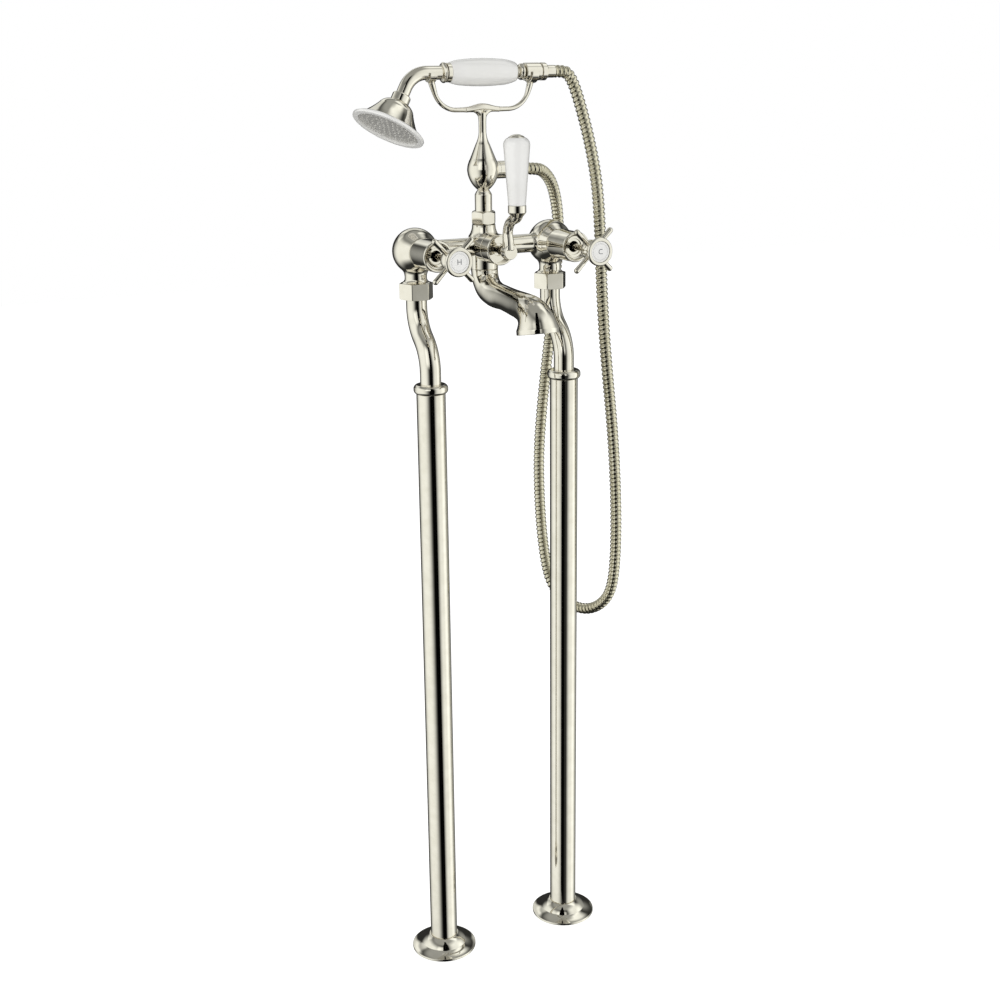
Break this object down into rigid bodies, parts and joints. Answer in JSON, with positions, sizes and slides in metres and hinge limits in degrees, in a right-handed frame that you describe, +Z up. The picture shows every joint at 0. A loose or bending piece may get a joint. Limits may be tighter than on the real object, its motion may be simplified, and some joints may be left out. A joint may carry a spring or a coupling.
{
  "type": "floor standing bath filler",
  "caption": "Traditional floor standing bath filler in polished nickel with cross handles, changeover lever, swan spout and a handset on a cradle with a ribbed metal hose",
  "frame": {"origin": "On the floor, halfway between the axes of the two legs", "axes": "+Z up, -Y the front where the spout points, +X the object's right as the front view shows it"},
  "size_m": [0.3286, 0.2364, 1.1276],
  "materials": {
    "nickel": "polished warm nickel plate on brass",
    "hose_metal": "polished interlocked metal hose",
    "plate_metal": "satin metal",
    "porcelain": "white glazed ceramic",
    "brass": "bare turned brass",
    "steel": "plain steel",
    "rubber": "fibre and rubber washer"
  },
  "bodies": {
    "body": {"floor_flange_left": "nickel", "floor_flange_right": "nickel", "leg_tube_left": "nickel", "leg_tube_right": "nickel", "leg_collar_left": "nickel", "leg_collar_right": "nickel", "s_bend_left": "nickel", "s_bend_right": "nickel", "union_nut_left": "nickel", "union_nut_right": "nickel", "bridge_body": "nickel", "valve_shroud_hot": "nickel", "valve_shroud_cold": "nickel", "diverter_shroud": "nickel", "spout": "nickel", "riser_tube": "nickel", "riser_nut": "nickel", "cradle_bulb": "nickel", "cradle_fork": "nickel", "hose_outlet": "nickel", "hose_nut_lower": "nickel", "hose_ferrule_lower": "nickel", "floor_plate_left": "brass", "floor_plate_right": "brass", "supply_tail_left": "brass", "supply_tail_right": "brass", "valve_cartridge_hot": "brass", "valve_cartridge_cold": "brass", "diverter_cartridge": "brass", "hose": "hose_metal", "union_washers": "rubber", "riser_washer": "rubber", "spout_straightener": "plate_metal"},
    "hot_handle": {"valve_spindle_hot": "nickel", "cross_handle_hot": "nickel", "index_ring_hot": "nickel", "index_disc_hot": "porcelain", "handle_screw_hot": "steel"},
    "cold_handle": {"valve_spindle_cold": "nickel", "cross_handle_cold": "nickel", "index_ring_cold": "nickel", "index_disc_cold": "porcelain", "handle_screw_cold": "steel"},
    "changeover": {"diverter_spindle": "nickel", "lever_arm": "nickel", "lever_grip": "porcelain", "lever_tie_rod": "nickel"},
    "handset": {"hose_ferrule_upper": "nickel", "hose_nut_upper": "nickel", "handset_barrel": "nickel", "grip_bead": "nickel", "handset_grip": "porcelain", "handset_stem": "brass", "grip_collar": "nickel", "handset_neck": "nickel", "rose_nut": "nickel", "rose_bell": "nickel", "rose_ring": "porcelain", "rose_plate": "plate_metal"}
  },
  "joints": [
    {"name": "hot_handle_turn", "type": "hinge", "parent": "body", "child": "hot_handle", "pos_m": [-0.09, -0.0343, 0.9111], "axis": [0, -1, 0], "range_deg": [0, 90]},
    {"name": "cold_handle_turn", "type": "hinge", "parent": "body", "child": "cold_handle", "pos_m": [0.09, -0.0343, 0.9111], "axis": [0, -1, 0], "range_deg": [-90, 0]},
    {"name": "changeover_turn", "type": "hinge", "parent": "body", "child": "changeover", "pos_m": [0, -0.0238, 0.9111], "axis": [0, -1, 0], "range_deg": [-45, 45]},
    {"name": "handset_lift", "type": "slide", "parent": "body", "child": "handset", "axis": [0, 0, 1], "range_m": [0, 0.06], "deforming": ["hose"]}
  ]
}
